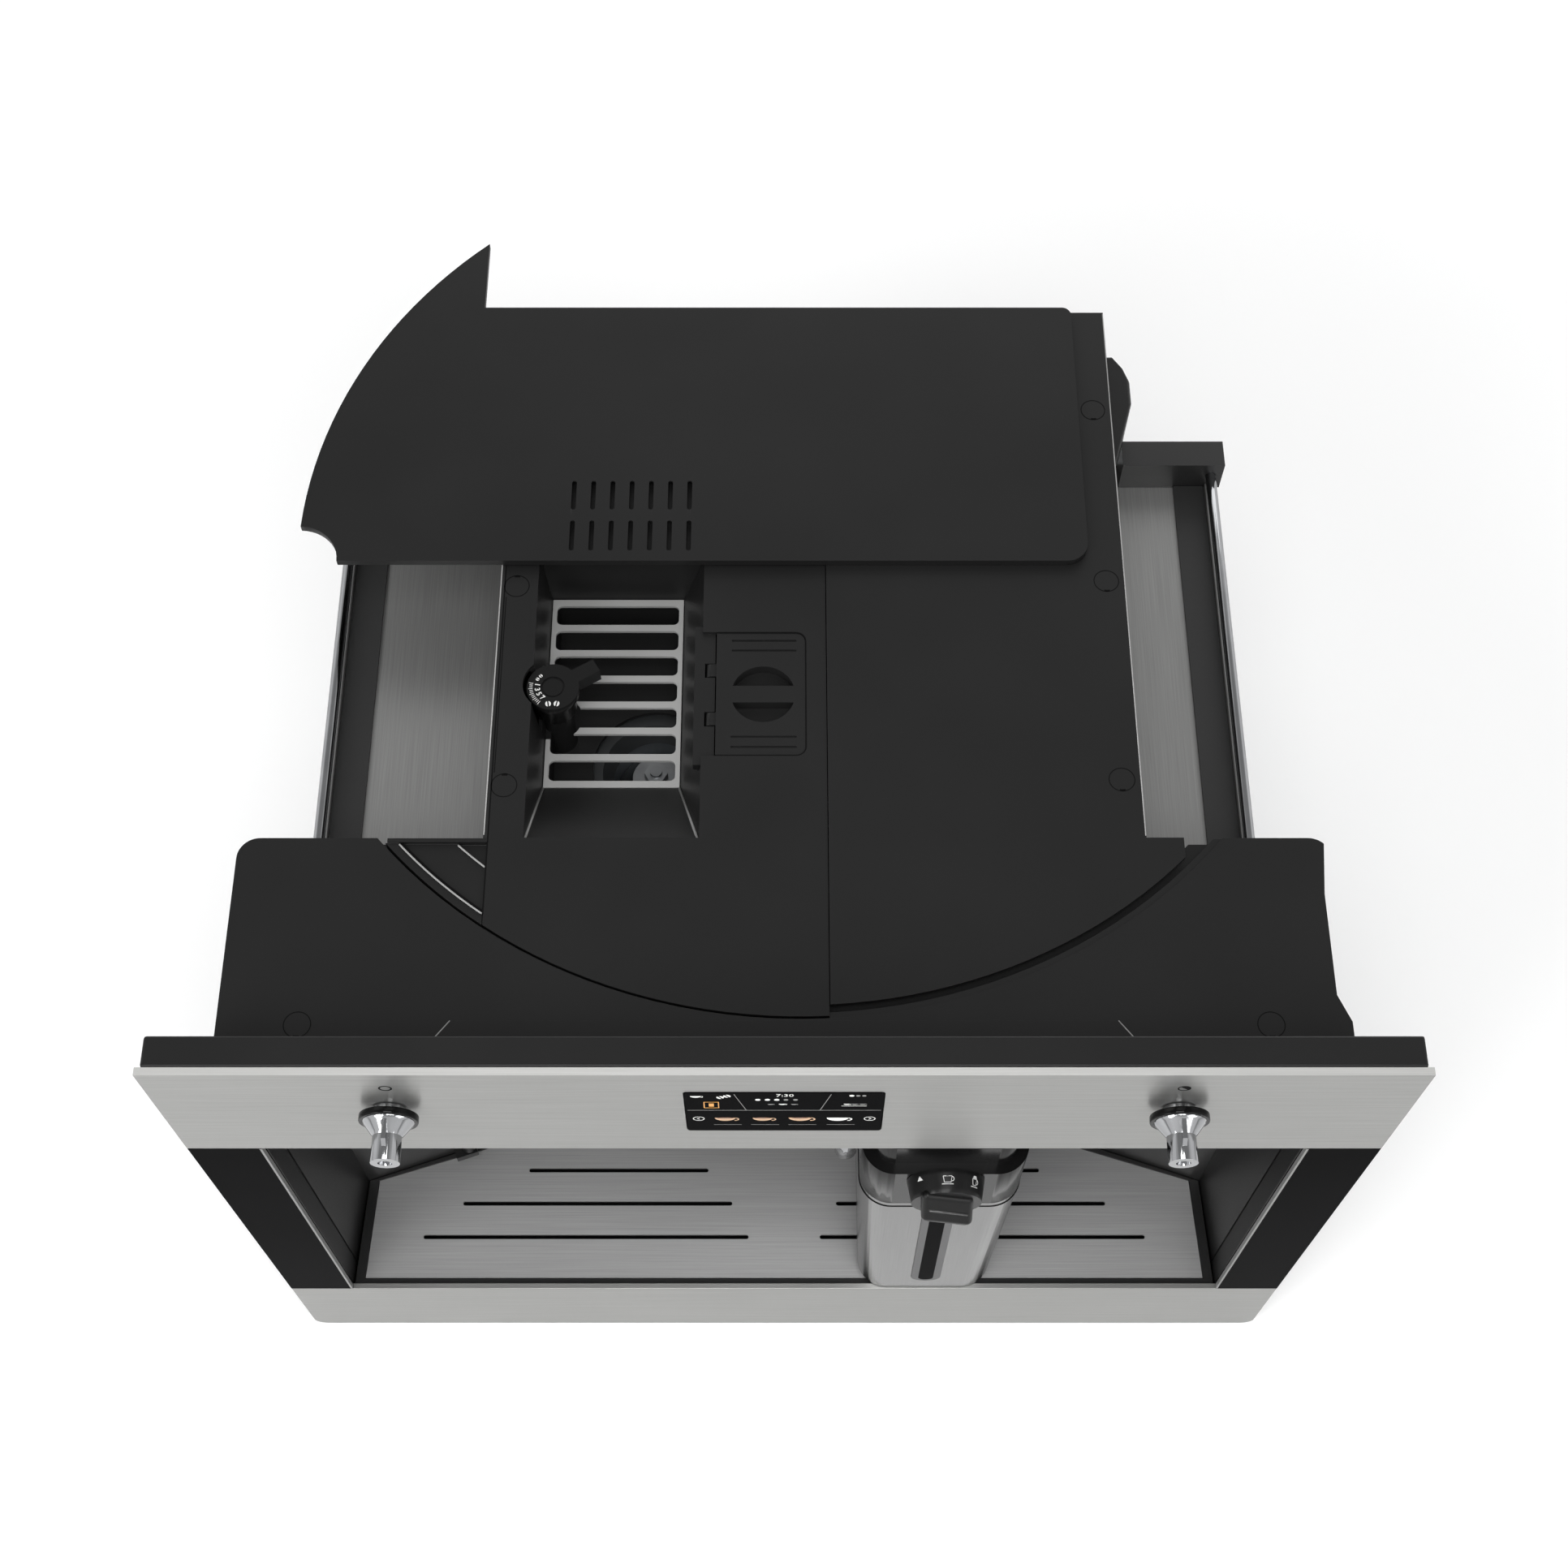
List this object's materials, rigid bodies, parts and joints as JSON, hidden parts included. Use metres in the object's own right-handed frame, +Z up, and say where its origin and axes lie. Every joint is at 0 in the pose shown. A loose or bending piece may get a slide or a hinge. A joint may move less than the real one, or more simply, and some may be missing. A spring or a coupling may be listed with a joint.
{
  "type": "built-in coffee machine",
  "caption": "Built-in bean-to-cup coffee machine that draws out of a cabinet niche on slide rails, with drip drawer, milk carafe, bean hopper, service door and removable water tank.",
  "frame": {"origin": "centre of the four rail screw holes on the niche floor, on the underside of the rails' feet", "axes": "+X to the user's right, +Y into the cabinet, +Z up; the steel front faces -Y"},
  "size_m": [0.595, 0.5524, 0.457],
  "materials": {
    "zinc": "satin",
    "steel": "brushed",
    "chrome": "polished",
    "black": "satin",
    "black_sheet": "satin",
    "gloss_black": "gloss",
    "dark_glass": "gloss",
    "clear": "clear",
    "board": "matte",
    "aluminium": "cast",
    "motor": "matte",
    "pump": "matte",
    "cream": "matte",
    "burr": "machined",
    "grate_grey": "satin",
    "frame_grey": "matte"
  },
  "bodies": {
    "cabinet": {"fixed_rails": "zinc"},
    "rail_sliders": {"middle_rails": "zinc"},
    "machine": {"inner_rails": "zinc", "base_pan": "zinc", "rear_panel": "black_sheet", "left_wall": "black_sheet", "right_wall": "black_sheet", "bulkhead": "zinc", "front_housing": "black", "mid_cover": "black", "right_cover": "black", "corner_cover": "black", "screw_plugs": "black", "front_frame": "black", "top_strip": "steel", "glass_sides": "dark_glass", "display_glass": "dark_glass", "front_board": "board", "niche_liner": "black", "spout_guide": "black", "steam_dock": "black", "bean_hopper": "black", "hopper_grate": "grate_grey", "grinder_motor": "motor", "funnel_chute": "black", "brew_frame": "frame_grey", "water_heater": "aluminium", "water_pump": "pump", "control_board": "board", "left_rack": "steel", "right_rack": "steel", "rack_fittings": "chrome", "side_grip": "gloss_black", "power_inlet": "black"},
    "drawer": {"bottom_strip": "steel", "drip_basin": "black", "drip_grille": "steel", "grounds_container": "black"},
    "left_dial": {"knob_left": "chrome", "ring_left": "gloss_black"},
    "right_dial": {"knob_right": "chrome", "ring_right": "gloss_black"},
    "brew_door": {"service_door": "black"},
    "spout": {"spout_body": "black", "spout_nozzles": "chrome"},
    "carafe": {"carafe_body": "steel", "carafe_lid": "gloss_black", "carafe_window": "clear", "carafe_tube": "clear"},
    "foam_dial": {"carafe_dial": "black"},
    "milk_arm": {"milk_spout": "chrome"},
    "cover_plate": {"hopper_cover": "black_sheet"},
    "grind_selector": {"grind_knob": "gloss_black"},
    "upper_burr": {"adjusting_ring": "zinc"},
    "burr_drive": {"lower_burr": "burr"},
    "funnel_lid": {"funnel_door": "black"},
    "chamber": {"brew_chamber": "cream"},
    "lead_screw": {"brew_screw": "zinc"},
    "tank": {"water_tank": "clear"},
    "mains_rocker": {"rocker_switch": "gloss_black"}
  },
  "joints": [
    {"name": "machine_slide", "type": "slide", "parent": "cabinet", "child": "machine", "axis": [0, -1, 0], "range_m": [0, 0.35]},
    {"name": "rail_slide", "type": "slide", "parent": "cabinet", "child": "rail_sliders", "axis": [0, -1, 0], "range_m": [0, 0.175]},
    {"name": "drawer_slide", "type": "slide", "parent": "machine", "child": "drawer", "axis": [0, -1, 0], "range_m": [0, 0.25]},
    {"name": "left_knob_turn", "type": "hinge", "parent": "machine", "child": "left_dial", "pos_m": [-0.187, -0.25, 0.413], "axis": [0, -1, 0], "continuous": true},
    {"name": "right_knob_turn", "type": "hinge", "parent": "machine", "child": "right_dial", "pos_m": [0.187, -0.25, 0.413], "axis": [0, -1, 0], "continuous": true},
    {"name": "service_door_swing", "type": "hinge", "parent": "machine", "child": "brew_door", "pos_m": [-0.19474, -0.16441, 0.217], "axis": [0, 0, -1], "range_deg": [0, 95]},
    {"name": "spout_lift", "type": "slide", "parent": "machine", "child": "spout", "axis": [0, 0, -1], "range_m": [0, 0.045]},
    {"name": "carafe_pull", "type": "slide", "parent": "machine", "child": "carafe", "axis": [0, -1, 0], "range_m": [0, 0.12]},
    {"name": "foam_dial_turn", "type": "hinge", "parent": "carafe", "child": "foam_dial", "pos_m": [0.084, -0.25, 0.297], "axis": [0, -1, 0], "range_deg": [-45, 45]},
    {"name": "milk_spout_turn", "type": "hinge", "parent": "carafe", "child": "milk_arm", "pos_m": [0.0348, -0.2007, 0.267], "axis": [1, 0, 0], "range_deg": [-20, 20]},
    {"name": "hopper_cover_slide", "type": "slide", "parent": "machine", "child": "cover_plate", "axis": [0, 1, 0], "range_m": [-0.163, 0]},
    {"name": "burr_adjust", "type": "hinge", "parent": "machine", "child": "upper_burr", "pos_m": [-0.07, -0.0337, 0.338], "axis": [0, 0, 1], "range_deg": [-12, 12]},
    {"name": "grind_knob_turn", "type": "hinge", "parent": "machine", "child": "grind_selector", "pos_m": [-0.12129, -0.0168, 0.402], "axis": [0, 0, 1], "range_deg": [-42, 42]},
    {"name": "lower_burr_spin", "type": "hinge", "parent": "machine", "child": "burr_drive", "pos_m": [-0.07, -0.0337, 0.332], "axis": [0, 0, 1], "continuous": true},
    {"name": "funnel_door_swing", "type": "hinge", "parent": "machine", "child": "funnel_lid", "pos_m": [-0.0386, -0.023, 0.407], "axis": [0, -1, 0], "range_deg": [0, 95]},
    {"name": "brew_chamber_lift", "type": "slide", "parent": "machine", "child": "chamber", "axis": [0, 0, 1], "range_m": [0, 0.06]},
    {"name": "brew_screw_turn", "type": "hinge", "parent": "machine", "child": "lead_screw", "pos_m": [0.031, 0.053, 0.182], "axis": [0, 0, 1], "range_deg": [0, 905]},
    {"name": "water_tank_slide", "type": "slide", "parent": "machine", "child": "tank", "axis": [1, 0, 0], "range_m": [0, 0.095]},
    {"name": "mains_switch_rock", "type": "hinge", "parent": "machine", "child": "mains_rocker", "pos_m": [-0.088, 0.219, 0.072], "axis": [1, 0, 0], "range_deg": [-16, 0]}
  ],
  "couplings": [
    {"joint": "rail_slide", "follows": "machine_slide", "ratio": 0.5},
    {"joint": "grind_knob_turn", "follows": "burr_adjust", "ratio": -3.5},
    {"joint": "brew_screw_turn", "follows": "brew_chamber_lift", "rad_per_m": 261.8}
  ]
}
